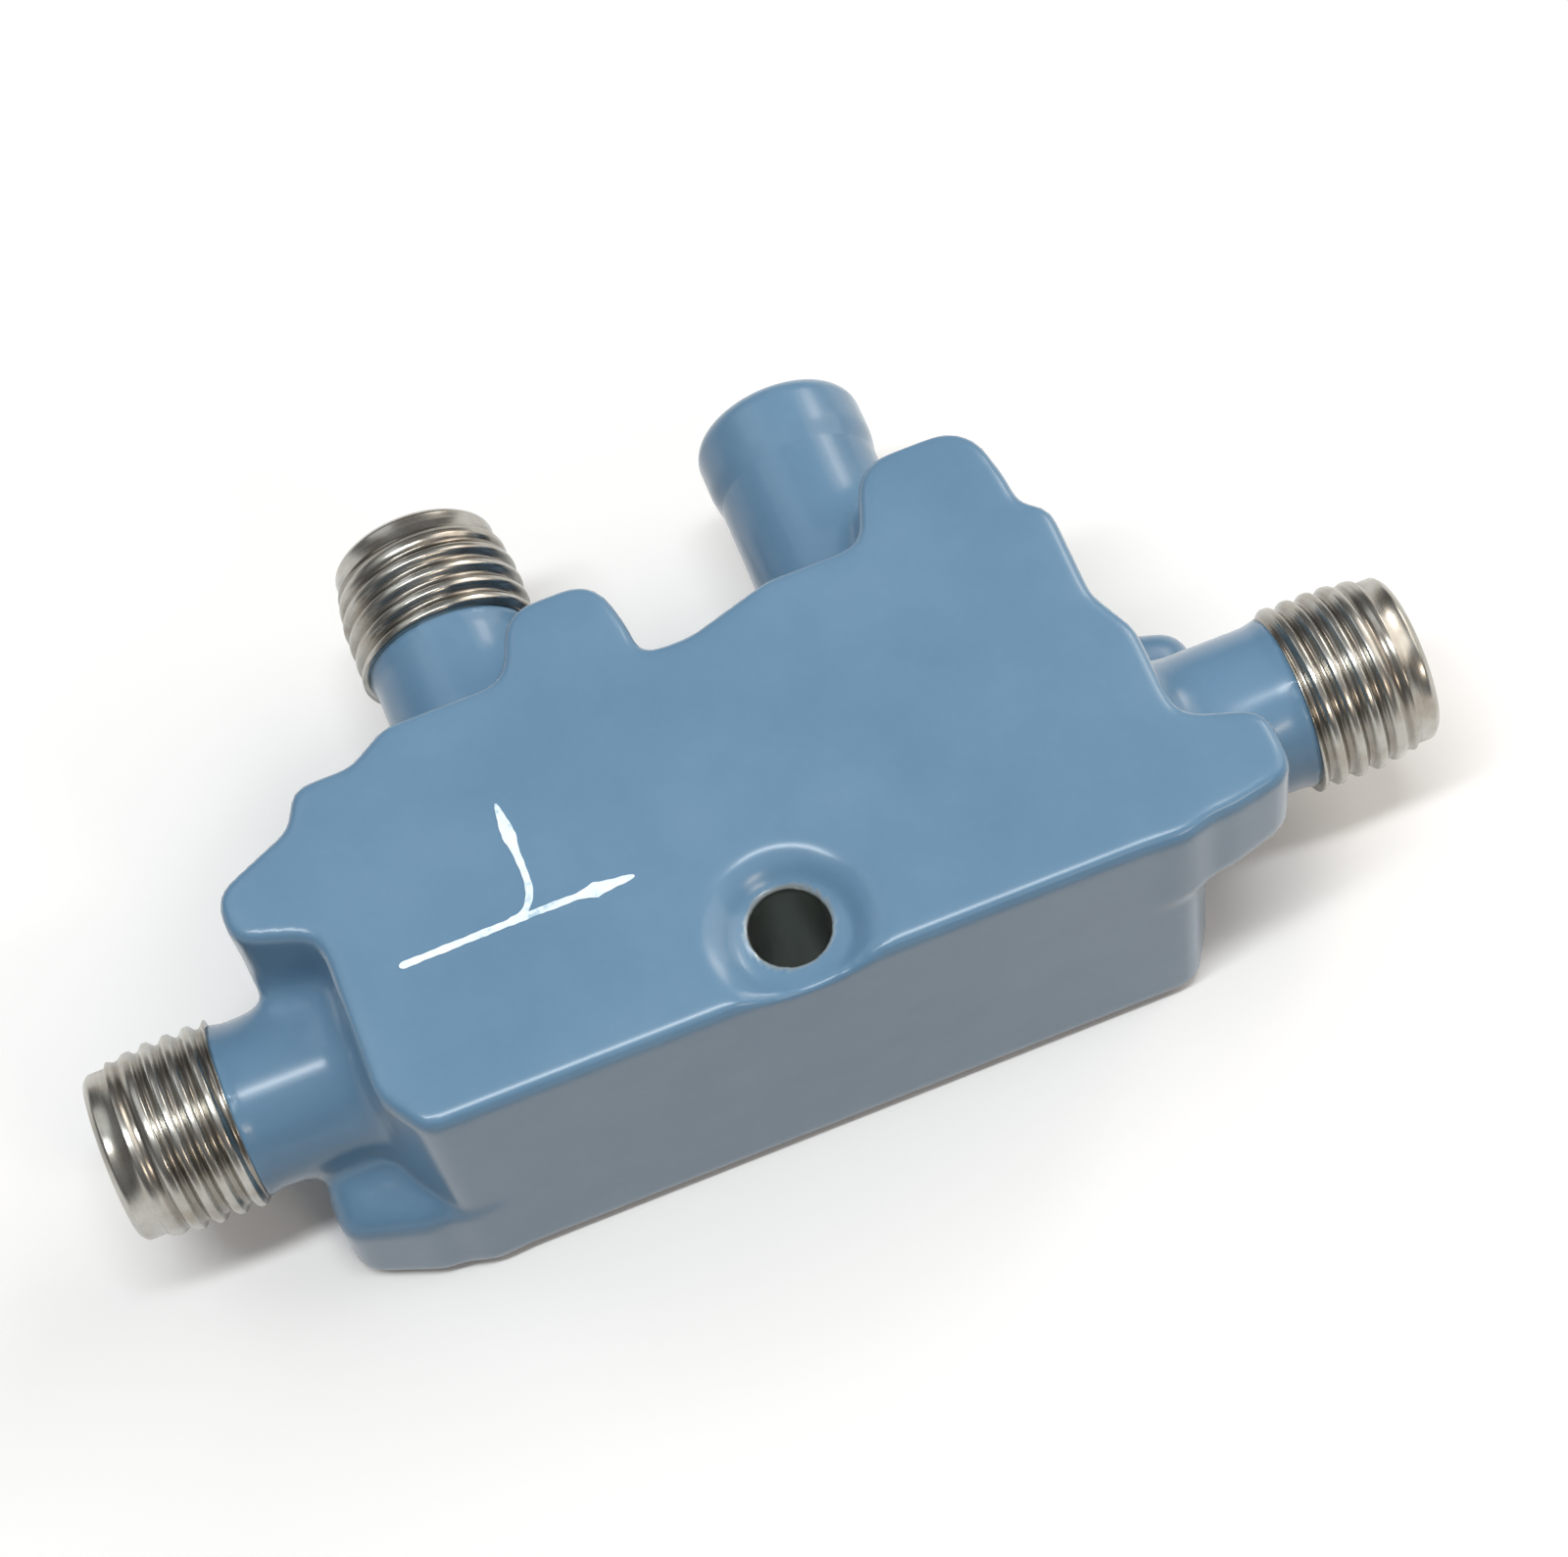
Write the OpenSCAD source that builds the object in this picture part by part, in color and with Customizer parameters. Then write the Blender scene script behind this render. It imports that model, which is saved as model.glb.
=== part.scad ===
// Coaxial directional coupler: painted block with two in-line ports, one coupled port and a closed load.
// Millimetres, +Z up. The origin is on the base face, on the axis of the mounting hole.
// The signal line runs along X. The coupled port and the load point to +Y.

/* [Block] */
// Height of the block from the base face to the top face
block_height = 12.7; // [12:0.1:14]
// Distance from the mounting hole to each in-line port face
port_face_x = 13.85; // [13.5:0.05:15]
// Distance that the in-line port pads stand out from the side walls
side_pad_depth = 0.8; // [0.5:0.1:1.2]
// Distance from the mounting hole to the front face
front_setback = 2.3; // [2.1:0.05:2.6]
// Distance from the front face to the signal line
line_setback = 5.78; // [5.6:0.01:6]
// Distance from the signal line to the back port pads
back_face_y = 8.0; // [7.8:0.1:9]
// Distance that the back port pads stand out from the back wall
back_pad_depth = 0.9; // [0.5:0.05:1.2]
// Distance from the mounting hole to the coupled port and to the load, along X
branch_x = 6.63; // [6.3:0.01:7.2]
// Width of the slanted front corners along X
front_corner_x = 1.1; // [0.8:0.05:1.4]
// Width of the slanted front corners along Y
front_corner_y = 1.75; // [1.4:0.05:2]
// Distance from the signal line to the back edge of the right pad
right_pad_back = 1.6; // [1.2:0.1:2]
// Width of the slope from the right pad to the right wall, along Y
right_pad_slope = 1.7; // [1.2:0.1:2]
// Distance from the signal line to the slanted back corner on the left
left_corner_y = 5.0; // [4.6:0.1:5.4]
// Half width of the back port pads
pad_half_width = 3.0; // [2.8:0.1:3.2]
// Width of the slopes beside the back port pads, along X
pad_slope = 1.4; // [1.2:0.1:1.6]
// Width of the slope between the load pad and the coupled port, along X
load_pad_slope = 3.0; // [2.6:0.1:3]
// Rounding of the upright corners
corner_round = 1.05; // [1:0.05:1.2]
// Rounding of the painted top edge
top_edge_round = 0.6; // [0.4:0.05:0.9]
// Rounding of the painted edge around the base face
base_edge_round = 0.7; // [0.5:0.05:0.7]

/* [Port lobes] */
// Distance that the upper lobes of the in-line ports stand out from their port faces
end_lobe_reach = 2.6; // [2.3:0.05:3]
// Distance that the upper lobe of the coupled port stands out from its port face
coupled_lobe_reach = 2.35; // [2.2:0.05:2.8]
// Distance that the upper lobe of the load stands out from its port face
load_lobe_reach = 2.8; // [2.5:0.05:3.2]
// Distance that all lower lobes stand out from their port faces
lower_lobe_reach = 3.0; // [2.6:0.05:3.2]
// Distance from the port face to the root of a lobe inside the block
lobe_root = 2.5; // [2.2:0.1:2.6]
// Distance from the port axis to the inner wall of an in-line port's lobe at its tip
end_lobe_inner = 2.65; // [2.5:0.05:2.8]
// Distance from the port axis to the inner wall of a coupled port lobe at its tip
coupled_lobe_inner = 2.0; // [1.9:0.05:2.4]
// Distance from the port axis to the inner wall of a load lobe at its tip
load_lobe_inner = 1.2; // [1:0.05:1.8]
// Distance from the port axis to the outer walls of the left in-line port's lobes at their tips
input_lobe_outer = 4.5; // [4.3:0.05:5]
// Distance from the port axis to the outer walls of all other lobes at their tips
lobe_outer = 5.1; // [4.9:0.05:5.2]
// Distance from the port axis to the outer wall of a lobe at the port face
lobe_face_outer = 5.55; // [5.4:0.05:5.6]
// Distance from the port face to the bend in the outer wall of a lobe
lobe_bend = 0.3; // [0.1:0.05:0.5]
// Distance that the inner wall of a lobe slopes towards the port axis at its root
lobe_inner_slope = 1.75; // [1.4:0.05:2]
// Rounding of the upright corners of an in-line port's lobe
end_lobe_round = 0.9; // [0.85:0.05:1]
// Rounding of the upright corners of a coupled port lobe
coupled_lobe_round = 1.2; // [1:0.05:1.25]
// Rounding of the upright corners of a load lobe
load_lobe_round = 1.5; // [1.2:0.05:1.6]
// Rounding of the far end of a lobe, at the top face or the base face
lobe_edge_round = 0.6; // [0.4:0.05:0.8]
// Height of the near end of a lobe above or below the port axis, at the port face
lobe_start = 1.2; // [0.8:0.1:1.5]
// Rise of the near end of a lobe per millimetre away from the port face
lobe_slope = 0.25; // [0.1:0.05:0.4]
// Rounding of the near end of a lobe
lobe_under_round = 0.8; // [0.4:0.05:0.85]

/* [Ports] */
// Overall length over the two in-line ports
overall_length = 45.5; // [44.5:0.1:47]
// Distance from the signal line to the tip of the coupled port
coupled_tip_y = 17.2; // [16.5:0.1:18]
// Major diameter of the port thread
thread_diameter = 6.35; // [6.3:0.01:6.4]
// Bare steel length of a port, from the painted neck to the tip
exposed_length = 4.2; // [4:0.1:5]
// Length of the smooth collar at the tip
collar_length = 0.9; // [0.6:0.1:1.2]
// Diameter of the smooth collar
collar_diameter = 5.72; // [5.5:0.01:5.8]
// Width of the bevel at the tip of the collar
tip_bevel = 0.2; // [0.1:0.05:0.3]
// Diameter of the painted neck
neck_diameter = 5.7; // [5.6:0.01:6]
// Height of the cone where a neck or the load boss meets its port face
neck_foot = 0.5; // [0.2:0.05:0.8]
// Diameter of the mating recess at the tip
socket_diameter = 4.6; // [4.55:0.01:4.7]
// Depth of the mating recess
socket_depth = 1.9; // [1.8:0.01:2]
// Diameter of the insulator inside a port
insulator_diameter = 4.1; // [4:0.01:4.2]
// Diameter of the shell stem that sits in the neck
stem_diameter = 4.9; // [4.8:0.01:5]
// Outer diameter of the centre contact
contact_diameter = 1.27; // [1.2:0.01:1.3]
// Diameter of the contact's socket hole
contact_bore = 0.93; // [0.9:0.01:0.96]
// Depth of the contact's socket hole
contact_bore_depth = 2.6; // [2:0.1:3]
// Width of the slots between the contact fingers
contact_slot = 0.16; // [0.1:0.01:0.2]
// Diameter of the pin at the inner end of each contact
pin_diameter = 0.8; // [0.6:0.05:0.9]

/* [Load] */
// Diameter of the load boss on the block
load_boss_diameter = 5.7; // [5.4:0.05:5.8]
// Length of the load boss from its port face
load_boss_length = 6.4; // [6:0.1:7]
// Diameter of the load cap
load_cap_diameter = 5.95; // [5.9:0.05:6.3]
// Length of the load cap outside its boss
load_cap_length = 2.6; // [2:0.1:3]
// Width of the bevel where the load cap meets its boss
load_cap_bevel = 0.12; // [0.05:0.01:0.2]
// Rounding of the end of the load cap
load_cap_round = 0.8; // [0.4:0.1:1.2]
// Length of the cap spigot inside the boss
load_spigot_length = 2.0; // [1.5:0.1:3]
// Diameter of the resistor rod
load_rod_diameter = 2.0; // [1.6:0.1:2.2]
// Depth that the resistor rod enters the cap
load_rod_seat = 3.0; // [2.5:0.1:3.5]
// Length of the insulating bead
bead_length = 1.0; // [0.8:0.1:1.2]
// Wall of the contact cup on the resistor rod
cup_wall = 0.4; // [0.3:0.05:0.5]
// Floor of the contact cup
cup_floor = 0.5; // [0.4:0.05:0.6]
// Depth that the resistor rod enters the contact cup
cup_depth = 1.3; // [1:0.1:1.6]

/* [Mounting hole] */
// Diameter of the through hole
hole_diameter = 2.6; // [2.5:0.01:2.8]
// Diameter of the recess around the hole
spot_diameter = 4.9; // [4.7:0.05:5.2]
// Depth of the recess around the hole
spot_depth = 0.8; // [0.5:0.05:1]
// Width of the bevel at the rim of the recess
spot_bevel = 0.15; // [0.05:0.05:0.25]

/* [Inside] */
// Half length of the line cavity
cavity_half_x = 9.6; // [9.2:0.1:10]
// Distance from the signal line to the front wall of the cavity
cavity_front = 1.1; // [1:0.05:1.2]
// Distance from the signal line to the back wall of the cavity
cavity_back = 5.1; // [5:0.1:5.3]
// Height of the cavity roof above the base face
cavity_roof = 9.5; // [9.2:0.1:10]
// Thickness of the base cover
cover_thickness = 1.6; // [1.4:0.1:1.8]
// Width of the ledge under the cover at each end of the cavity
cover_ledge_x = 2.6; // [2.5:0.05:2.8]
// Width of the ledge under the front of the cover
cover_ledge_front = 0.4; // [0.3:0.05:0.5]
// Width of the ledge under the back of the cover
cover_ledge_back = 0.7; // [0.5:0.05:0.9]
// Thickness of the flat line conductors
line_thickness = 0.25; // [0.2:0.05:0.3]
// Width of the main line
main_line_width = 1.4; // [1.2:0.1:1.6]
// Width of the coupled line
coupled_line_width = 1.0; // [0.8:0.1:1.2]
// Space between the main line and the coupled line
line_spacing = 0.7; // [0.5:0.05:0.9]
// Length of each contact pin that lies on its line
pin_overlap = 0.9; // [0.7:0.1:1.1]
// Shank diameter of a cover screw
screw_diameter = 1.3; // [1.2:0.05:1.4]
// Head diameter of a cover screw
screw_head_diameter = 2.2; // [2:0.05:2.3]
// Height of the straight rim of a screw head
screw_head_rim = 0.1; // [0.05:0.05:0.2]
// Height of the conical screw head
screw_head_height = 0.6; // [0.5:0.05:0.7]
// Length of a cover screw
screw_length = 3.2; // [2.8:0.1:3.3]
// Width of the screw slot
screw_slot_width = 0.4; // [0.3:0.05:0.5]
// Depth of the screw slot
screw_slot_depth = 0.35; // [0.25:0.05:0.4]
// Distance from the cover screws to the front and back walls of the cavity
screw_inset = 1.0; // [0.9:0.1:1.2]

/* [Clearances] */
// Radial clearance between pieces that are pressed or soldered together
seat_gap = 0.02; // [0.01:0.01:0.05]
// Clearance around the cover and the insulating sheets
cover_gap = 0.05; // [0.03:0.01:0.1]
// Clearance between the contact pins and the upper sheet
pin_gap = 0.3; // [0.2:0.05:0.4]
// Clearance at the end of a cover screw
screw_end_gap = 0.2; // [0.1:0.05:0.25]

/* [Hidden] */

axis_z = block_height / 2;
line_y = line_setback - front_setback;
port_back_y = line_y + back_face_y;
inline_reach = overall_length / 2 - port_face_x;
coupled_reach = coupled_tip_y - back_face_y;
cavity_depth_x = port_face_x - cavity_half_x;
cavity_depth_y = back_face_y - cavity_back;
pin_low_z = axis_z - pin_diameter / 2;
line_low_z = pin_low_z - line_thickness;
bead_to = bead_length - cavity_depth_y;
cup_from = bead_to + cup_floor;
cup_to = cup_from + cup_depth;
corner_steps = 4;
edge_steps = 2;
cap_steps = 5;
round_fn = 64;
small_fn = 32;
overcut = 0.5;
min_round = 0.05;

paint_blue = [0.40, 0.58, 0.71];
steel_grey = [0.70, 0.68, 0.64];
insulator_white = [0.93, 0.92, 0.88];
contact_gold = [0.85, 0.65, 0.25];
line_copper = [0.80, 0.50, 0.30];
rod_grey = [0.35, 0.34, 0.33];

// Unit vector along v
function unit(v) = v / norm(v);

// Vector v turned a quarter turn to the left
function left_of(v) = [-v[1], v[0]];

// Vector v turned by an angle
function turned(v, a) = [v[0] * cos(a) - v[1] * sin(a), v[0] * sin(a) + v[1] * cos(a)];

// Corner b of an outline, moved inside by d from both of its edges
function inset_corner(a, b, c, d) =
  let (n1 = left_of(unit(b - a)), n2 = left_of(unit(c - b)))
  b + (n1 + n2) * d / (1 + n1 * n2);

// One for a corner that turns left, minus one for a corner that turns right
function turn_sign(a, b, c) = cross(b - a, c - b) > 0 ? 1 : -1;

// Points on the arc that rounds corner b
function corner_arc(a, b, c, r) =
  let (
    e1 = unit(a - b),
    e2 = unit(c - b),
    half = acos(e1 * e2) / 2,
    centre = b + unit(e1 + e2) * r / sin(half),
    start = b + e1 * r / tan(half) - centre,
    sweep = turn_sign(a, b, c) * (180 - 2 * half))
  [for (k = [0:corner_steps]) centre + turned(start, sweep * k / corner_steps)];

// An outline moved inside by d, with its corners rounded
function rounded_ring(outline, round, d) =
  let (
    n = len(outline),
    sharp = [for (i = [0:n - 1])
      inset_corner(outline[(i + n - 1) % n], outline[i], outline[(i + 1) % n], d)])
  [for (i = [0:n - 1])
    let (
      a = sharp[(i + n - 1) % n],
      b = sharp[i],
      c = sharp[(i + 1) % n],
      r = max(round - turn_sign(a, b, c) * d, min_round))
    each corner_arc(a, b, c, r)];

// Prism with rounded corners, rounded low and high edges, and a high face that may slope along X
module rounded_prism(outline, round, low, high, low_round, high_round, high_slope = 0) {
  low_rings = [for (k = [edge_steps:-1:0])
    let (a = 90 * k / edge_steps)
    [low_round * (1 - cos(a)), low + low_round * (1 - sin(a)), 0]];
  high_rings = [for (k = [0:edge_steps])
    let (a = 90 * k / edge_steps)
    [high_round * (1 - cos(a)), high - high_round * (1 - sin(a)), high_slope]];
  rings = concat(low_rings, high_rings);
  count = len(outline) * (corner_steps + 1);
  points = [for (ring = rings)
    each [for (p = rounded_ring(outline, round, ring[0])) [p[0], p[1], ring[1] + ring[2] * p[0]]]];
  sides = [for (k = [0:len(rings) - 2]) each [for (i = [0:count - 1])
    let (j = (i + 1) % count, base = k * count)
    [base + i, base + count + i, base + count + j, base + j]]];
  floor_face = [for (i = [0:count - 1]) i];
  roof_face = [for (i = [0:count - 1]) len(rings) * count - 1 - i];
  polyhedron(points = points, faces = concat([floor_face], sides, [roof_face]));
}

// Block outline without the lobes, from the front left, as seen from above
side_x = port_face_x - side_pad_depth;
wall_y = back_face_y - back_pad_depth;
block_outline = [
  [-port_face_x + front_corner_x, -line_setback],
  [port_face_x - front_corner_x, -line_setback],
  [port_face_x, -line_setback + front_corner_y],
  [port_face_x, right_pad_back],
  [side_x, right_pad_back + right_pad_slope],
  [side_x, wall_y],
  [branch_x + pad_half_width + pad_slope, wall_y],
  [branch_x + pad_half_width, back_face_y],
  [branch_x - pad_half_width, back_face_y],
  [branch_x - pad_half_width - load_pad_slope, wall_y],
  [-branch_x + pad_half_width + pad_slope, wall_y],
  [-branch_x + pad_half_width, back_face_y],
  [-branch_x - pad_half_width, back_face_y],
  [-branch_x - pad_half_width - pad_slope, wall_y],
  [-side_x, wall_y],
  [-port_face_x, left_corner_y],
  [-port_face_x, -line_setback + front_corner_y]];

// Lobe outline: X points out of the port, Y points away from the port axis
function lobe_outline(reach, inner, outer) = [
  [-lobe_root, inner - lobe_inner_slope],
  [reach, inner],
  [reach, outer],
  [lobe_bend, lobe_face_outer],
  [-lobe_root, lobe_face_outer]];

// Places a piece drawn along +X from its port face
module at_input() {
  translate([-port_face_x, line_y, axis_z])
    rotate([0, 0, 180])
      children();
}

module at_output() {
  translate([port_face_x, line_y, axis_z])
    children();
}

module at_coupled() {
  translate([-branch_x, port_back_y, axis_z])
    rotate([0, 0, 90])
      children();
}

module at_load() {
  translate([branch_x, port_back_y, axis_z])
    rotate([0, 0, 90])
      children();
}

// Cylinder along +X between two distances from the port face
module rod(d, from, to, fn = round_fn) {
  translate([from, 0, 0])
    rotate([0, 90, 0])
      cylinder(d = d, h = to - from, $fn = fn);
}

// Cone along +X between two distances from the port face
module cone(d_from, d_to, from, to, fn = round_fn) {
  translate([from, 0, 0])
    rotate([0, 90, 0])
      cylinder(d1 = d_from, d2 = d_to, h = to - from, $fn = fn);
}

// Lobe of a port, below its axis on the left
module lobe(outline, round) {
  rounded_prism(outline, round, -axis_z, -lobe_start, lobe_edge_round, lobe_under_round, -lobe_slope);
}

// Two lobes of a port, one above its axis on the right and one below its axis on the left
module port_lobes(upper_reach, inner, outer, round) {
  rotate([180, 0, 0])
    lobe(lobe_outline(upper_reach, inner, outer), round);
  lobe(lobe_outline(lower_lobe_reach, inner, outer), round);
}

// Painted neck with a conical foot
module neck(d, length) {
  rod(d, -overcut, length);
  cone(d + 2 * neck_foot, d, 0, neck_foot);
}

// Painted block with its lobes, necks, bores and line cavity
module housing() {
  stem_bore = stem_diameter + 2 * seat_gap;
  load_bore = insulator_diameter + 2 * seat_gap;
  color(paint_blue)
    difference() {
      union() {
        translate([0, line_y, 0])
          rounded_prism(block_outline, corner_round, 0, block_height, base_edge_round, top_edge_round);
        at_input() {
          port_lobes(end_lobe_reach, end_lobe_inner, input_lobe_outer, end_lobe_round);
          neck(neck_diameter, inline_reach - exposed_length);
        }
        at_output() {
          port_lobes(end_lobe_reach, end_lobe_inner, lobe_outer, end_lobe_round);
          neck(neck_diameter, inline_reach - exposed_length);
        }
        at_coupled() {
          port_lobes(coupled_lobe_reach, coupled_lobe_inner, lobe_outer, coupled_lobe_round);
          neck(neck_diameter, coupled_reach - exposed_length);
        }
        at_load() {
          port_lobes(load_lobe_reach, load_lobe_inner, lobe_outer, load_lobe_round);
          neck(load_boss_diameter, load_boss_length);
        }
      }
      at_input()
        rod(stem_bore, -cavity_depth_x - overcut, inline_reach);
      at_output()
        rod(stem_bore, -cavity_depth_x - overcut, inline_reach);
      at_coupled()
        rod(stem_bore, -cavity_depth_y - overcut, coupled_reach);
      at_load()
        rod(load_bore, -cavity_depth_y - overcut, load_boss_length + overcut);
      translate([0, 0, -overcut])
        cylinder(d = hole_diameter, h = block_height + 2 * overcut, $fn = round_fn);
      translate([0, 0, block_height - spot_depth])
        cylinder(d = spot_diameter, h = spot_depth + overcut, $fn = round_fn);
      translate([0, 0, block_height - spot_bevel])
        cylinder(d1 = spot_diameter, d2 = spot_diameter + 2 * spot_bevel, h = spot_bevel, $fn = round_fn);
      translate([-cavity_half_x, line_y - cavity_front, -overcut])
        cube([2 * cavity_half_x, cavity_front + cavity_back, cavity_roof + overcut]);
      cover_shape(-overcut, cover_thickness, cover_gap);
      cover_screw_places()
        cylinder(d = screw_diameter + 2 * seat_gap, h = screw_length + screw_end_gap, $fn = small_fn);
    }
}

// Rectangle that the base cover fills, grown by a clearance
module cover_shape(low, high, gap) {
  half_x = cavity_half_x + cover_ledge_x + gap;
  y1 = line_y - cavity_front - cover_ledge_front - gap;
  y2 = line_y + cavity_back + cover_ledge_back + gap;
  translate([-half_x, y1, low])
    cube([2 * half_x, y2 - y1, high - low]);
}

// Four places for the cover screws, on the ledges at the ends of the cavity
module cover_screw_places() {
  x = cavity_half_x + cover_ledge_x / 2;
  for (sx = [-1, 1], y = [screw_inset - cavity_front, cavity_back - screw_inset])
    translate([sx * x, line_y + y, 0])
      children();
}

// Flush plate that closes the cavity from below
module base_cover() {
  color(paint_blue)
    difference() {
      cover_shape(0, cover_thickness, 0);
      cover_screw_places() {
        translate([0, 0, -overcut])
          cylinder(d = screw_diameter + 4 * seat_gap, h = cover_thickness + 2 * overcut, $fn = small_fn);
        screw_head(2 * seat_gap, overcut);
      }
    }
}

// Conical screw head, flush with the base face, grown by a clearance and a cutting length
module screw_head(gap, extra) {
  rim_diameter = screw_head_diameter + gap;
  translate([0, 0, -extra])
    cylinder(d = rim_diameter, h = extra + screw_head_rim, $fn = small_fn);
  translate([0, 0, screw_head_rim])
    cylinder(d1 = rim_diameter, d2 = screw_diameter + gap, h = screw_head_height, $fn = small_fn);
}

// Four slotted screws that hold the base cover
module cover_screws() {
  color(steel_grey)
    cover_screw_places()
      difference() {
        union() {
          screw_head(0, 0);
          translate([0, 0, screw_head_rim])
            cylinder(d = screw_diameter, h = screw_length - screw_head_rim, $fn = small_fn);
        }
        translate([-screw_head_diameter, -screw_slot_width / 2, -overcut])
          cube([2 * screw_head_diameter, screw_slot_width, overcut + screw_slot_depth]);
      }
}

// Insulating sheet below the lines
module lower_sheet() {
  color(insulator_white)
    translate([-cavity_half_x + cover_gap, line_y - cavity_front + cover_gap, cover_thickness])
      cube([
        2 * (cavity_half_x - cover_gap),
        cavity_front + cavity_back - 2 * cover_gap,
        line_low_z - cover_thickness]);
}

// Insulating sheet above the lines, short enough to clear the contact pins
module upper_sheet() {
  half_x = cavity_half_x - pin_overlap - pin_gap;
  y2 = cavity_back - pin_overlap - pin_gap;
  color(insulator_white)
    translate([-half_x, line_y - cavity_front + cover_gap, pin_low_z])
      cube([2 * half_x, cavity_front - cover_gap + y2, cavity_roof - pin_low_z]);
}

// Flat main line between the two in-line ports
module main_line() {
  half_x = cavity_half_x - cover_gap;
  color(line_copper)
    translate([-half_x, line_y - main_line_width / 2, line_low_z])
      cube([2 * half_x, main_line_width, line_thickness]);
}

// Flat coupled line with a leg to the coupled port and a leg to the load
module coupled_line() {
  y1 = line_y + main_line_width / 2 + line_spacing;
  y2 = line_y + cavity_back - cover_gap;
  half_x = branch_x + coupled_line_width / 2;
  color(line_copper)
    translate([0, 0, line_low_z]) {
      translate([-half_x, y1, 0])
        cube([2 * half_x, coupled_line_width, line_thickness]);
      for (sx = [-1, 1])
        translate([sx * branch_x - coupled_line_width / 2, y1, 0])
          cube([coupled_line_width, y2 - y1, line_thickness]);
    }
}

// Turned steel port: smooth collar, thread, and a stem that sits in the neck
module port_shell(reach, depth) {
  thread_from = reach - exposed_length;
  thread_to = reach - collar_length;
  bevel = (thread_diameter - collar_diameter) / 2;
  color(steel_grey)
    difference() {
      union() {
        rod(stem_diameter, -depth, thread_to);
        rod(thread_diameter, thread_from, thread_to - bevel);
        cone(thread_diameter, collar_diameter, thread_to - bevel, thread_to);
        rod(collar_diameter, thread_to - bevel, reach - tip_bevel);
        cone(collar_diameter, collar_diameter - 2 * tip_bevel, reach - tip_bevel, reach);
      }
      rod(insulator_diameter + 2 * seat_gap, -depth - overcut, reach);
      rod(socket_diameter, reach - socket_depth, reach + overcut);
    }
}

// White insulator of a port, flush with the bottom of the mating recess
module port_insulator(reach, depth) {
  color(insulator_white)
    difference() {
      rod(insulator_diameter, -depth, reach - socket_depth);
      rod(contact_diameter + 2 * seat_gap, -depth - overcut, reach, small_fn);
    }
}

// Centre contact of a port: slotted socket in front, plain pin behind
module port_contact(reach, depth) {
  front = reach - socket_depth;
  color(contact_gold)
    difference() {
      union() {
        rod(contact_diameter, -depth, front, small_fn);
        rod(pin_diameter, -depth - pin_overlap, front - contact_bore_depth - overcut, small_fn);
      }
      rod(contact_bore, front - contact_bore_depth, front + overcut, small_fn);
      for (a = [0, 90])
        rotate([a, 0, 0])
          translate([front - contact_bore_depth * 0.7, -contact_diameter, -contact_slot / 2])
            cube([contact_bore_depth, 2 * contact_diameter, contact_slot]);
    }
}

module input_shell() {
  at_input()
    port_shell(inline_reach, cavity_depth_x);
}

module input_insulator() {
  at_input()
    port_insulator(inline_reach, cavity_depth_x);
}

module input_contact() {
  at_input()
    port_contact(inline_reach, cavity_depth_x);
}

module output_shell() {
  at_output()
    port_shell(inline_reach, cavity_depth_x);
}

module output_insulator() {
  at_output()
    port_insulator(inline_reach, cavity_depth_x);
}

module output_contact() {
  at_output()
    port_contact(inline_reach, cavity_depth_x);
}

module coupled_shell() {
  at_coupled()
    port_shell(coupled_reach, cavity_depth_y);
}

module coupled_insulator() {
  at_coupled()
    port_insulator(coupled_reach, cavity_depth_y);
}

module coupled_contact() {
  at_coupled()
    port_contact(coupled_reach, cavity_depth_y);
}

// Painted cap that closes the load, with a spigot in the boss and a seat for the rod
module load_cap() {
  tip = load_boss_length + load_cap_length;
  seat_from = load_boss_length - load_spigot_length;
  r = load_cap_diameter / 2;
  color(paint_blue)
    at_load()
      difference() {
        union() {
          translate([load_boss_length, 0, 0])
            rotate([0, 90, 0])
              rotate_extrude($fn = round_fn)
                polygon(concat(
                  [[0, 0], [r - load_cap_bevel, 0], [r, load_cap_bevel]],
                  [for (k = [0:cap_steps])
                    let (a = 90 * k / cap_steps)
                    [r - load_cap_round * (1 - cos(a)), load_cap_length - load_cap_round * (1 - sin(a))]],
                  [[0, load_cap_length]]));
          rod(insulator_diameter, seat_from, load_boss_length + overcut);
        }
        rod(load_rod_diameter + 2 * seat_gap, seat_from - overcut, seat_from + load_rod_seat, small_fn);
      }
}

// Resistor rod between the load contact and the cap
module load_rod() {
  rod_to = load_boss_length - load_spigot_length + load_rod_seat;
  color(rod_grey)
    at_load()
      rod(load_rod_diameter, cup_from, rod_to, small_fn);
}

// Contact cup on the resistor rod, with a pin on the coupled line
module load_contact() {
  color(contact_gold)
    at_load()
      difference() {
        union() {
          rod(pin_diameter, -cavity_depth_y - pin_overlap, cup_from, small_fn);
          rod(load_rod_diameter + 2 * cup_wall, bead_to, cup_to, small_fn);
        }
        rod(load_rod_diameter + 2 * seat_gap, cup_from, cup_to + overcut, small_fn);
      }
}

// Insulating ring that centres the load contact in its bore
module load_bead() {
  color(insulator_white)
    at_load()
      difference() {
        rod(insulator_diameter, -cavity_depth_y, bead_to);
        rod(pin_diameter + 2 * seat_gap, -cavity_depth_y - overcut, bead_to + overcut, small_fn);
      }
}

housing();
base_cover();
cover_screws();
lower_sheet();
upper_sheet();
main_line();
coupled_line();
input_shell();
input_insulator();
input_contact();
output_shell();
output_insulator();
output_contact();
coupled_shell();
coupled_insulator();
coupled_contact();
load_cap();
load_rod();
load_contact();
load_bead();
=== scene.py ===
"""Directional coupler: enamelled block, turned steel ports, printed arrow, floor, lights and camera."""

import math
from collections import namedtuple

import bpy
import numpy as np
from mathutils import Matrix, Quaternion, Vector


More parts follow.
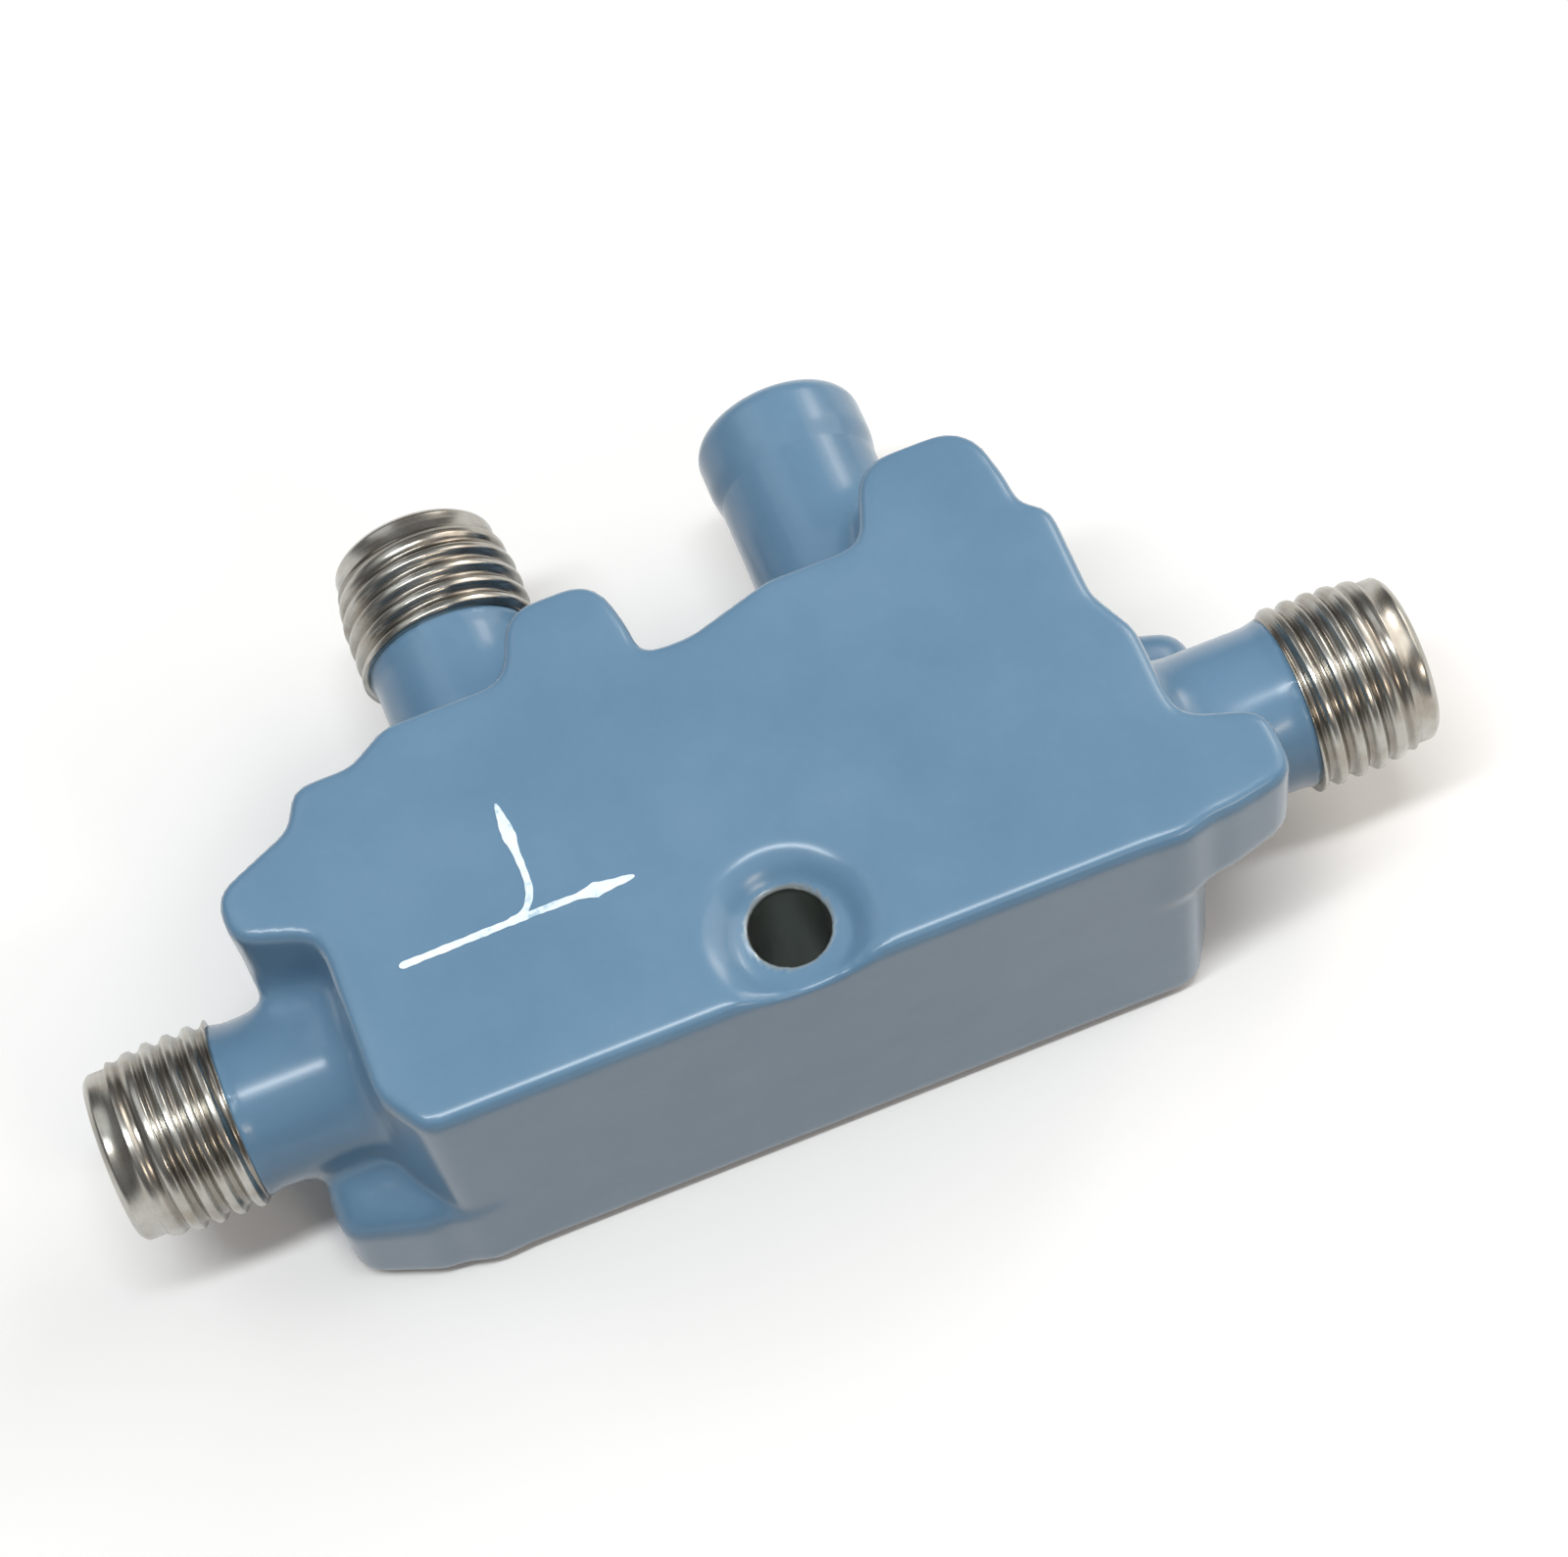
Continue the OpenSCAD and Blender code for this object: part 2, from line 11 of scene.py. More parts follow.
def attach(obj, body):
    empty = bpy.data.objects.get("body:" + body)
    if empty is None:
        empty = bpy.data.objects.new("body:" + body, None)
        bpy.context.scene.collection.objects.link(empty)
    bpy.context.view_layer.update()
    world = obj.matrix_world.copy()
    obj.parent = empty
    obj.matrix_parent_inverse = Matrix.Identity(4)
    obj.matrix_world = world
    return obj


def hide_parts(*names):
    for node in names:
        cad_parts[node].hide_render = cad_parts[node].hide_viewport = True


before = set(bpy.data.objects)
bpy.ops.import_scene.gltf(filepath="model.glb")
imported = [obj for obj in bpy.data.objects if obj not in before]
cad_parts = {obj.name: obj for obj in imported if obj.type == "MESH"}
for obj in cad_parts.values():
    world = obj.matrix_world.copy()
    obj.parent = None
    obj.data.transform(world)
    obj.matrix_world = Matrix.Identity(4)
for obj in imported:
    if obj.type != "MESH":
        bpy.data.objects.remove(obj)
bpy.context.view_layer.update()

MM = 0.001

# Block, in millimetres. Y places of its outline are given from the line through the in-line ports.
HEIGHT = 12.7
AXIS_Z = HEIGHT / 2
LINE_Y = 3.48
FRONT = 5.78
FACE_X = 13.85
SIDE_X = 13.05
BACK_Y = 8.0
WALL_Y = 7.1
BRANCH_X = 6.63
PORT_BACK_Y = LINE_Y + BACK_Y
FRONT_CORNER = (1.1, 1.75)
RIGHT_FACE_END = 1.6
RIGHT_SIDE_START = 3.3
LEFT_FACE_END = 5.0
PAD_HALF = 3.0
PAD_FOOT = 4.4
LOAD_PAD_FOOT = 6.0
CORNER_ROUND = 0.7
TOP_ROUND = 0.32
BASE_ROUND = 0.7

# Lobes of the ports
LOBE_START = 1.2
LOBE_SLOPE = 0.25
LOBE_UNDER_ROUND = 0.9
LOBE_ROOT = 2.5
LOBE_BEND = 0.3
LOBE_FACE_OUTER = 5.55
LOBE_OUTER = 5.1
LOBE_INNER_SLOPE = 1.75
LOBE_BLEND = 0.7
END_LOBE = 2.6
LOWER_LOBE = 3.0
INLINE_LOBE_INNER = 2.65
INLINE_LOBE_ROUND = 0.9

# Necks and threaded shells
NECK_RADIUS = 2.85
NECK_FILLET = 1.8
NECK_ROOT = 2.0
NECK_END_ROUND = 0.15
FLARE_LENGTH = 0.5
FLARE_RISE = 0.24
INLINE_REACH = 8.9
COUPLED_REACH = 9.2
EXPOSED = 4.2
SHELL_SINK = 0.1
SHELL_BORE = 2.07
COLLAR = 0.9
COLLAR_STEP = 0.12
COLLAR_RADIUS = 2.86
TIP_BEVEL = 0.2
TIP_ROUND = 0.07
SOCKET_RADIUS = 2.3
SOCKET_DEPTH = 1.9
SOCKET_BEVEL = 0.1
THREAD_RADIUS = 3.175
THREAD_DEPTH = 0.22
THREAD_PITCH = 0.7056
CREST_TAPER = 1.3

# Load
LOAD_BOSS = 6.4
BOSS_OVERLAP = 0.5
CAP_RADIUS = 2.975
CAP_LENGTH = 2.6
CAP_ROUND = 0.8
CAP_OVERLAP = 0.3
CAP_SWELL = 1.1
CAP_SINK = 0.02
CAP_BORE = 1.0
CAP_FACE_RADII = (1.8, 1.4, 1.0, 0.6, 0.25, 0.004, 0.002)

# Mounting hole, and its recess as a dish that the paint has softened
HOLE_RADIUS = 1.3
HOLE_EDGE_ROUND = 0.08
BARE_EDGE = 0.12
BARE_FADE = 0.08
SPOT_RADIUS = 2.36
SPOT_SHIFT = -0.35
SPOT_DEPTH = 0.8
SPOT_FILLET = 1.2
SPOT_LIP_ROUND = 0.2
SPOT_RIM_ROUND = 0.8

# Pocket of the base cover
COVER_HALF_X = 12.25
COVER_Y = (1.93, 9.33)
COVER_THICKNESS = 1.6

# Grid of the block's distance field
GRID_STEP = 0.18
GRID_LOW = (-19.1, -3.0, -0.72)
GRID_HIGH = (19.1, 19.2, 13.42)
FAR = 1e9

# Passes that move the mesh onto the surface, and the longest move in grid steps
PROJECT_PASSES = 3
LONGEST_MOVE = 0.4


# Materials


def linear(rgb):
    """An sRGB colour from 0 to 255 as linear RGBA."""
    out = []
    for c in rgb:
        c = c / 255
        out.append(c / 12.92 if c <= 0.04045 else ((c + 0.055) / 1.055) ** 2.4)
    return (*out, 1.0)


def grey(level):
    return (level, level, level, 1)


def set_stops(node, stops):
    """Give a colour ramp its stops, as places and colours."""
    band = node.color_ramp
    while len(band.elements) < len(stops):
        band.elements.new(0.5)
    for element, (place, colour) in zip(band.elements, stops):
        element.position = place
        element.color = colour


class Nodes:
    """A short way to write a material's node tree."""

    def __init__(self, name):
        self.material = bpy.data.materials.new(name)
        self.material.use_nodes = True
        self.tree = self.material.node_tree
        self.shader = self.tree.nodes["Principled BSDF"]

    def add(self, kind, **sockets):
        node = self.tree.nodes.new(kind)
        for key, value in sockets.items():
            node.inputs[key.replace("_", " ")].default_value = value
        return node

    def link(self, out, into):
        self.tree.links.new(out, into)

    def coords(self, scale):
        place = self.add("ShaderNodeTexCoord")
        mapping = self.add("ShaderNodeMapping", Scale=scale)
        self.link(place.outputs["Object"], mapping.inputs["Vector"])
        return mapping.outputs["Vector"]

    def noise(self, scale, detail=3.0, rough=0.5, stretch=(1, 1, 1)):
        node = self.add("ShaderNodeTexNoise", Scale=scale, Detail=detail, Roughness=rough)
        self.link(self.coords(stretch), node.inputs["Vector"])
        return node.outputs["Fac"]

    def ramp(self, fac, stops):
        node = self.add("ShaderNodeValToRGB")
        set_stops(node, stops)
        self.link(fac, node.inputs["Fac"])
        return node.outputs["Color"]

    def mix(self, fac, a, b):
        """Mix of two colours, each a socket or a plain value."""
        node = self.add("ShaderNodeMix")
        node.data_type = "RGBA"
        for source, socket in ((fac, node.inputs[0]), (a, node.inputs[6]), (b, node.inputs[7])):
            if isinstance(source, tuple):
                socket.default_value = source
            else:
                self.link(source, socket)
        return node.outputs[2]

    def spread(self, fac, low, high, at=(0.3, 0.7)):
        """A value moved from one range to another."""
        node = self.add("ShaderNodeMapRange", From_Min=at[0], From_Max=at[1], To_Min=low, To_Max=high)
        self.link(fac, node.inputs["Value"])
        return node.outputs["Result"]

    def either(self, a, b):
        node = self.add("ShaderNodeMath")
        node.operation = "MAXIMUM"
        self.link(a, node.inputs[0])
        self.link(b, node.inputs[1])
        return node.outputs[0]

    def attribute(self, name):
        node = self.add("ShaderNodeAttribute")
        node.attribute_name = name
        return node.outputs["Fac"]

    def bump(self, height, strength, distance):
        node = self.add("ShaderNodeBump", Strength=strength, Distance=distance)
        self.link(height, node.inputs["Height"])
        return node.outputs["Normal"]

    def finish(self, colour, rough, normal, **sockets):
        self.link(colour, self.shader.inputs["Base Color"])
        self.link(rough, self.shader.inputs["Roughness"])
        self.link(normal, self.shader.inputs["Normal"])
        for key, value in sockets.items():
            self.shader.inputs[key.replace("_", " ")].default_value = value
        return self.material


PAINT_TONES = [(0.3, (97, 132, 161)), (0.52, (101, 136, 165)), (0.75, (106, 140, 168))]
PAINT_FLECK = (134, 170, 194)
FLECK_SHARE = 0.035
BARE_METAL = (0.60, 0.64, 0.62, 1)
COAT = 0.9
STEEL_TONES = [(0.3, (0.34, 0.305, 0.26, 1)), (0.5, (0.43, 0.42, 0.385, 1)), (0.72, (0.52, 0.515, 0.49, 1))]
# Colour of the painted shade deep in the thread grooves.
GROOVE_SHADE = (0.15, 0.125, 0.10, 1)
INK_TONES = [(0.30, (168, 200, 220)), (0.42, (222, 238, 246)), (0.7, (238, 247, 251))]
GRAIN_HEIGHT = 0.00003


def from_srgb(tones):
    return [(place, linear(colour)) for place, colour in tones]


def enamel_material():
    """Satin paint. Where the "bare" attribute is one, uncoated metal."""
    n = Nodes("enamel")
    paint = n.ramp(n.noise(260, 4, 0.55), from_srgb(PAINT_TONES))
    fleck = n.spread(n.noise(2600, 2, 0.5), 0.0, FLECK_SHARE, (0.5, 0.75))
    paint = n.mix(fleck, paint, linear(PAINT_FLECK))
    bare = n.attribute("bare")
    colour = n.mix(bare, paint, BARE_METAL)
    rough = n.spread(n.noise(700, 3), 0.285, 0.295)
    normal = n.bump(n.noise(330, 1, 0.4), 0.01, 0.0001)
    n.link(bare, n.shader.inputs["Metallic"])
    n.link(n.spread(bare, COAT, 0.0, (0.0, 1.0)), n.shader.inputs["Coat Weight"])
    return n.finish(colour, rough, normal, Coat_Roughness=0.22, Coat_IOR=1.4, Specular_IOR_Level=0.1)


def steel_material():
    """Turned steel with painted shade, darker where the groove attribute, the depth in the thread groove, is
    one.
    """
    n = Nodes("turned_steel")
    rings = n.noise(1.0, 2, 0.6, stretch=(9000, 60, 60))
    tone = n.ramp(n.noise(700, 3, 0.6), STEEL_TONES)
    # Painted shade: darkens the steel deep in the thread grooves, by groove depth.
    groove_shade = n.spread(n.attribute("groove"), 0.0, 0.6, (0.45, 1.0))
    colour = n.mix(groove_shade, tone, GROOVE_SHADE)
    return n.finish(colour, n.spread(rings, 0.2, 0.32), n.bump(rings, 0.06, 0.00002), Metallic=1.0)


def plain_material(name, low, high, scale, rough, metallic=0.0):
    """One tone with patches, and a grain six times finer."""
    n = Nodes(name)
    colour = n.ramp(n.noise(scale, 4, 0.55), [(0.3, (*low, 1)), (0.7, (*high, 1))])
    grain = n.noise(scale * 6, 2, 0.5)
    return n.finish(colour, n.spread(grain, *rough), n.bump(grain, 0.15, GRAIN_HEIGHT), Metallic=metallic)


def ink_material():
    n = Nodes("white_ink")
    worn = n.noise(1700, 3, 0.6)
    colour = n.ramp(worn, from_srgb(INK_TONES))
    return n.finish(colour, n.spread(worn, 0.35, 0.6), n.bump(worn, 0.2, GRAIN_HEIGHT))


ENAMEL = enamel_material()
STEEL = steel_material()
INSULATOR = plain_material("white_fluoroplastic", (0.80, 0.79, 0.75), (0.88, 0.87, 0.84), 600, (0.35, 0.5))
GOLD = plain_material("gold_plate", (0.72, 0.47, 0.14), (0.86, 0.60, 0.22), 900, (0.18, 0.32), metallic=1.0)
COPPER = plain_material("copper_line", (0.62, 0.30, 0.17), (0.74, 0.39, 0.24), 700, (0.25, 0.4), metallic=1.0)
RESISTOR = plain_material("resistor_film", (0.06, 0.058, 0.055), (0.10, 0.095, 0.09), 800, (0.4, 0.6))
INK = ink_material()


# Distance fields


def inset(outline, d):
    """An outline that turns left, moved inside by d."""
    points = [np.array(p, float) for p in outline]
    area = sum(a[0] * b[1] - a[1] * b[0] for a, b in zip(points, points[1:] + points[:1]))
    if area < 0:
        points.reverse()
    out = []
    for i, b in enumerate(points):
        a = points[i - 1]
        c = points[(i + 1) % len(points)]
        e1 = (b - a) / np.linalg.norm(b - a)
        e2 = (c - b) / np.linalg.norm(c - b)
        n1 = np.array([-e1[1], e1[0]])
        n2 = np.array([-e2[1], e2[0]])
        out.append(b + (n1 + n2) * d / (1 + n1 @ n2))
    return out


def outline_distance(outline, x, y, corner):
    """Distance from points to an outline with rounded corners, negative inside."""
    points = inset(outline, corner)
    best = np.full(x.shape, FAR)
    inside = np.zeros(x.shape, bool)
    for i in range(len(points)):
        a, b = points[i - 1], points[i]
        e = b - a
        wx, wy = x - a[0], y - a[1]
        t = np.clip((wx * e[0] + wy * e[1]) / (e @ e), 0, 1)
        best = np.minimum(best, (wx - t * e[0]) ** 2 + (wy - t * e[1]) ** 2)
        if abs(e[1]) > 1e-9:
            inside ^= ((a[1] > y) != (b[1] > y)) & (x < e[0] * (y - a[1]) / e[1] + a[0])
    return np.where(inside, -1, 1) * np.sqrt(best) - corner


def soft_min(a, b, k):
    """The lesser of two fields, blended where they differ by less than k."""
    h = np.maximum(k - np.abs(a - b), 0) / k
    return np.minimum(a, b) - h * h * k / 4


def soft_max(a, b, k):
    return -soft_min(-a, -b, k)


def smooth_step(t):
    t = np.clip(t, 0, 1)
    return t * t * (3 - 2 * t)


def slab(flat, z, low, high, low_round, high_round):
    """Distance to an outline raised between two heights, with rounded rims. Heights may vary in plan."""
    middle = (low + high) / 2
    r = np.where(z > middle, high_round, low_round)
    side = flat[:, :, None] + r
    up = np.abs(z - middle) - (high - low) / 2 + r
    return np.hypot(np.maximum(side, 0), np.maximum(up, 0)) + np.minimum(np.maximum(side, up), 0) - r


def blurred(field, passes, axes):
    for _ in range(passes):
        for axis in axes:
            first = np.take(field, [0], axis)
            last = np.take(field, [-1], axis)
            wide = np.concatenate([first, field, last], axis)
            n = field.shape[axis]
            parts = [np.take(wide, range(k, k + n), axis) for k in range(3)]
            field = (parts[0] + 2 * parts[1] + parts[2]) / 4
    return field


# Painted block

BLOCK_OUTLINE = [
    (-FACE_X + FRONT_CORNER[0], -FRONT),
    (FACE_X - FRONT_CORNER[0], -FRONT),
    (FACE_X, -FRONT + FRONT_CORNER[1]),
    (FACE_X, RIGHT_FACE_END),
    (SIDE_X, RIGHT_SIDE_START),
    (SIDE_X, WALL_Y),
    (BRANCH_X + PAD_FOOT, WALL_Y),
    (BRANCH_X + PAD_HALF, BACK_Y),
    (BRANCH_X - PAD_HALF, BACK_Y),
    (BRANCH_X - LOAD_PAD_FOOT, WALL_Y),
    (-BRANCH_X + PAD_FOOT, WALL_Y),
    (-BRANCH_X + PAD_HALF, BACK_Y),
    (-BRANCH_X - PAD_HALF, BACK_Y),
    (-BRANCH_X - PAD_FOOT, WALL_Y),
    (-SIDE_X, WALL_Y),
    (-FACE_X, LEFT_FACE_END),
    (-FACE_X, -FRONT + FRONT_CORNER[1]),
]

Port = namedtuple("Port", "turn place upper_reach lobe_inner lobe_outer lobe_round neck flare")
PORTS = {
    "input": Port(
        turn=180,
        place=(-FACE_X, LINE_Y),
        upper_reach=END_LOBE,
        lobe_inner=INLINE_LOBE_INNER,
        lobe_outer=4.5,
        lobe_round=INLINE_LOBE_ROUND,
        neck=INLINE_REACH - EXPOSED,
        flare=FLARE_RISE,
    ),
    "output": Port(
        turn=0,
        place=(FACE_X, LINE_Y),
        upper_reach=END_LOBE,
        lobe_inner=INLINE_LOBE_INNER,
        lobe_outer=LOBE_OUTER,
        lobe_round=INLINE_LOBE_ROUND,
        neck=INLINE_REACH - EXPOSED,
        flare=FLARE_RISE,
    ),
    "coupled": Port(
        turn=90,
        place=(-BRANCH_X, PORT_BACK_Y),
        upper_reach=2.35,
        lobe_inner=2.0,
        lobe_outer=LOBE_OUTER,
        lobe_round=1.2,
        neck=COUPLED_REACH - EXPOSED,
        flare=FLARE_RISE,
    ),
    "load": Port(
        turn=90,
        place=(BRANCH_X, PORT_BACK_Y),
        upper_reach=2.8,
        lobe_inner=1.2,
        lobe_outer=LOBE_OUTER,
        lobe_round=1.5,
        neck=LOAD_BOSS + BOSS_OVERLAP,
        flare=0,
    ),
}
OPEN_PORTS = {"input": INLINE_REACH, "output": INLINE_REACH, "coupled": COUPLED_REACH}


def port_axis(port):
    angle = math.radians(port.turn)
    return round(math.cos(angle)), round(math.sin(angle))


def from_port(port, x, y):
    """Distances of points out of a port and across its axis."""
    c, s = port_axis(port)
    dx, dy = x - port.place[0], y - port.place[1]
    return c * dx + s * dy, c * dy - s * dx


def lobe_outline(port, reach, side):
    """Lobe of a port in the frame of the block. Side is 1 for a lower lobe and -1 for an upper one."""
    out_and_across = [
        (-LOBE_ROOT, port.lobe_inner - LOBE_INNER_SLOPE),
        (reach, port.lobe_inner),
        (reach, port.lobe_outer),
        (LOBE_BEND, LOBE_FACE_OUTER),
        (-LOBE_ROOT, LOBE_FACE_OUTER),
    ]
    c, s = port_axis(port)
    x0, y0 = port.place
    return [(x0 + c * u - s * side * v, y0 + s * u + c * side * v) for u, v in out_and_across]


def lobed_plan(block, x, y, side):
    """Plan distance to the block with one side's lobes, and how far their near ends are from the axes."""
    plan = block
    best = np.full(x.shape, FAR)
    near = np.zeros(x.shape)
    for port in PORTS.values():
        reach = LOWER_LOBE if side > 0 else port.upper_reach
        lobe = outline_distance(lobe_outline(port, reach, side), x, y, port.lobe_round)
        out, _ = from_port(port, x, y)
        near = np.where(lobe < best, np.maximum(LOBE_START + LOBE_SLOPE * out, 0), near)
        best = np.minimum(best, lobe)
        plan = soft_min(plan, lobe, LOBE_BLEND)
    return blurred(plan, 2, (0, 1)), near[:, :, None]


def lobed_block(x, y, z):
    block = outline_distance([(u, v + LINE_Y) for u, v in BLOCK_OUTLINE], x, y, CORNER_ROUND)
    upper, upper_near = lobed_plan(block, x, y, -1)
    lower, lower_near = lobed_plan(block, x, y, 1)
    field = slab(blurred(block, 2, (0, 1)), z, 0, HEIGHT, BASE_ROUND, TOP_ROUND)
    field = np.minimum(field, slab(upper, z, AXIS_Z + upper_near, HEIGHT, LOBE_UNDER_ROUND, TOP_ROUND))
    field = np.minimum(field, slab(lower, z, 0, AXIS_Z - lower_near, BASE_ROUND, LOBE_UNDER_ROUND))
    return blurred(field, 1, (0, 1, 2))


def neck_field(port, x, y, z):
    out, across = from_port(port, x, y)
    flare = port.flare * smooth_step((out - port.neck) / FLARE_LENGTH + 1)
    radius = np.hypot(across[:, :, None], z - AXIS_Z) - (NECK_RADIUS + flare)[:, :, None]
    along = np.maximum(out - port.neck, -out - NECK_ROOT)[:, :, None] + 0 * z
    return soft_max(radius, along, NECK_END_ROUND)


def cut_hole(field, x, y, z):
    """The field less the mounting hole and its recess, whose rim is softer at the top than at its lip."""
    around = np.hypot(x, y)[:, :, None]
    wall = np.hypot(x, y - SPOT_SHIFT)[:, :, None] - SPOT_RADIUS
    recess = soft_max(wall, HEIGHT - SPOT_DEPTH - z, SPOT_FILLET)
    rise = smooth_step((z - HEIGHT) / SPOT_DEPTH + 1)
    rim = SPOT_LIP_ROUND + (SPOT_RIM_ROUND - SPOT_LIP_ROUND) * rise
    field = soft_max(field, -recess, rim)
    return soft_max(field, HOLE_RADIUS - around + 0 * z, HOLE_EDGE_ROUND)


def cut_pocket(field, x, y, z):
    pocket_x = np.abs(x) - COVER_HALF_X
    pocket_y = np.maximum(COVER_Y[0] - y, y - COVER_Y[1])
    pocket = np.maximum(np.maximum(pocket_x, pocket_y)[:, :, None], z - COVER_THICKNESS)
    return np.maximum(field, -pocket)


def block_field():
    """Distance to the painted block on a grid, and the grid's low corner."""
    low = np.array(GRID_LOW)
    count = np.ceil((np.array(GRID_HIGH) - low) / GRID_STEP).astype(int) + 1
    axes = [low[i] + GRID_STEP * np.arange(count[i]) for i in range(3)]
    x, y = np.meshgrid(axes[0], axes[1], indexing="ij")
    z = axes[2][None, None, :]
    field = lobed_block(x, y, z)
    for port in PORTS.values():
        field = soft_min(field, neck_field(port, x, y, z), NECK_FILLET)
    field = cut_hole(blurred(field, 1, (0, 1, 2)), x, y, z)
    return cut_pocket(field, x, y, z), low


def field_at(field, places):
    """Field values and slopes at places given in grid steps."""
    base = np.clip(np.floor(places).astype(int), 0, np.array(field.shape) - 2)
    t = places - base
    value = 0
    slope = np.zeros(places.shape)
    for corner in range(8):
        d = np.array([corner & 1, corner >> 1 & 1, corner >> 2 & 1])
        f = field[tuple((base + d).T)]
        w = np.where(d == 1, t, 1 - t)
        value = value + f * w.prod(1)
        for axis in range(3):
            others = [k for k in range(3) if k != axis]
            slope[:, axis] += f * (1 if d[axis] else -1) * w[:, others[0]] * w[:, others[1]]
    return value, slope


def edge_crossings(field):
    """Grid edges that cross the surface: axis, starts, crossing points, and whether each leads outward."""
    inside = field < 0
    out = []
    for axis in range(3):
        first = [slice(None)] * 3
        second = [slice(None)] * 3
        first[axis] = slice(0, -1)
        second[axis] = slice(1, None)
        cross = inside[tuple(first)] != inside[tuple(second)]
        where = np.argwhere(cross)
        a, b = field[tuple(first)][cross], field[tuple(second)][cross]
        point = where.astype(float)
        point[:, axis] += a / (a - b)
        out.append((axis, where, point, a < 0))
    return out


def net_vertices(crossings, cells):
    """One vertex in each cell that the surface passes, and the number of each cell's vertex."""
    total = np.zeros(cells + (3,))
    hits = np.zeros(cells)
    for axis, where, point, _ in crossings:
        others = [k for k in range(3) if k != axis]
        for du in (0, 1):
            for dv in (0, 1):
                cell = where.copy()
                cell[:, others[0]] -= du
                cell[:, others[1]] -= dv
                good = (cell >= 0).all(1) & (cell < np.array(cells)).all(1)
                np.add.at(total, tuple(cell[good].T), point[good])
                np.add.at(hits, tuple(cell[good].T), 1)
    used = hits > 0
    number = np.full(cells, -1)
    number[used] = np.arange(used.sum())
    return total[used] / hits[used][:, None], number


def net_quads(crossings, number):
    """A quad round each grid edge that crosses the surface, facing outward."""
    quads = []
    for axis, where, _, outward in crossings:
        u, v = (axis + 1) % 3, (axis + 2) % 3
        good = (where[:, u] > 0) & (where[:, v] > 0)
        where, outward = where[good], outward[good]
        ring = []
        for du, dv in ((0, 0), (1, 0), (1, 1), (0, 1)):
            cell = where.copy()
            cell[:, u] -= du
            cell[:, v] -= dv
            ring.append(number[tuple(cell.T)])
        ring = np.stack(ring, 1)
        ring[~outward] = ring[~outward][:, ::-1]
        quads.append(ring)
    return np.concatenate(quads)


def field_surface(field):
    """Vertices, in grid steps, and quads of the surface where the field is zero."""
    crossings = edge_crossings(field)
    vertices, number = net_vertices(crossings, tuple(n - 1 for n in field.shape))
    for _ in range(PROJECT_PASSES):
        value, slope = field_at(field, vertices)
        size = np.maximum((slope**2).sum(1), 1e-6)
        move = slope * (value / size)[:, None]
        vertices = vertices - np.clip(move, -LONGEST_MOVE, LONGEST_MOVE)
    return vertices, net_quads(crossings, number)


def mesh_piece(name, vertices, faces, material, matrix=None, smooth=True):
    mesh = bpy.data.meshes.new(name)
    mesh.from_pydata([tuple(v) for v in vertices], [], [tuple(f) for f in faces])
    mesh.validate()
    mesh.polygons.foreach_set("use_smooth", [smooth] * len(mesh.polygons))
    mesh.materials.append(material)
    piece = bpy.data.objects.new(name, mesh)
    bpy.context.scene.collection.objects.link(piece)
    if matrix is not None:
        piece.matrix_world = matrix
    return piece


def point_layer(piece, name, values):
    layer = piece.data.attributes.new(name, "FLOAT", "POINT")
    layer.data.foreach_set("value", values.astype(np.float32))


def painted_block():
    field, low = block_field()
    vertices, quads = field_surface(field)
    vertices = low + vertices * GRID_STEP
    piece = mesh_piece("painted_block", vertices * MM, quads.tolist(), ENAMEL)
    around = np.hypot(vertices[:, 0], vertices[:, 1])
    bare = np.clip((HOLE_RADIUS + BARE_EDGE - around) / BARE_FADE, 0, 1)
    point_layer(piece, "bare", bare)
    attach(piece, "root")
    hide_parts("housing")


painted_block()


# Turned pieces

SHELL_STEPS = 144
CAP_STEPS = 96
THREAD_ROWS = 90
CREST_DROP = 0.45
TAPERED_DEPTH = 0.5 * THREAD_DEPTH
BEND_STEPS = 4
BEND_SHARE = 0.45

# Thread form, as shares of the pitch
CREST_HALF = 0.08
FLANK = 0.38


def port_matrix(port):
    place = Matrix.Translation(Vector((*port.place, AXIS_Z)) * MM)
    return place @ Matrix.Rotation(math.radians(port.turn), 4, "Z")


def thread_radius(u, limit, angles):
    """Radius of a right-hand thread at distance u, and how deep in the groove each point is."""
    phase = np.mod(u / THREAD_PITCH - angles / (2 * math.pi), 1.0)
    off = np.minimum(phase, 1 - phase)
    cut = smooth_step((off - CREST_HALF) / FLANK)
    return np.minimum(THREAD_RADIUS - THREAD_DEPTH * cut, limit - TAPERED_DEPTH * cut), cut


def lathe(name, rows, material, matrix, count):
    """A closed profile turned about X. Each row is a distance, a radius and whether the thread cuts it."""
    angles = np.linspace(0, 2 * math.pi, count, endpoint=False)
    vertices = []
    depth = []
    for u, r, threaded in rows:
        radius = np.full(count, r)
        cut = np.zeros(count)
        if threaded:
            radius, cut = thread_radius(u, r, angles)
        vertices.append(np.stack([np.full(count, u), radius * np.cos(angles), radius * np.sin(angles)], 1))
        depth.append(cut)
    n = len(rows)
    faces = []
    for i in range(n):
        a, b = i * count, (i + 1) % n * count
        for k in range(count):
            j = (k + 1) % count
            faces.append((a + k, a + j, b + j, b + k))
    piece = mesh_piece(name, np.concatenate(vertices) * MM, faces, material, matrix)
    point_layer(piece, "groove", np.concatenate(depth))
    return piece


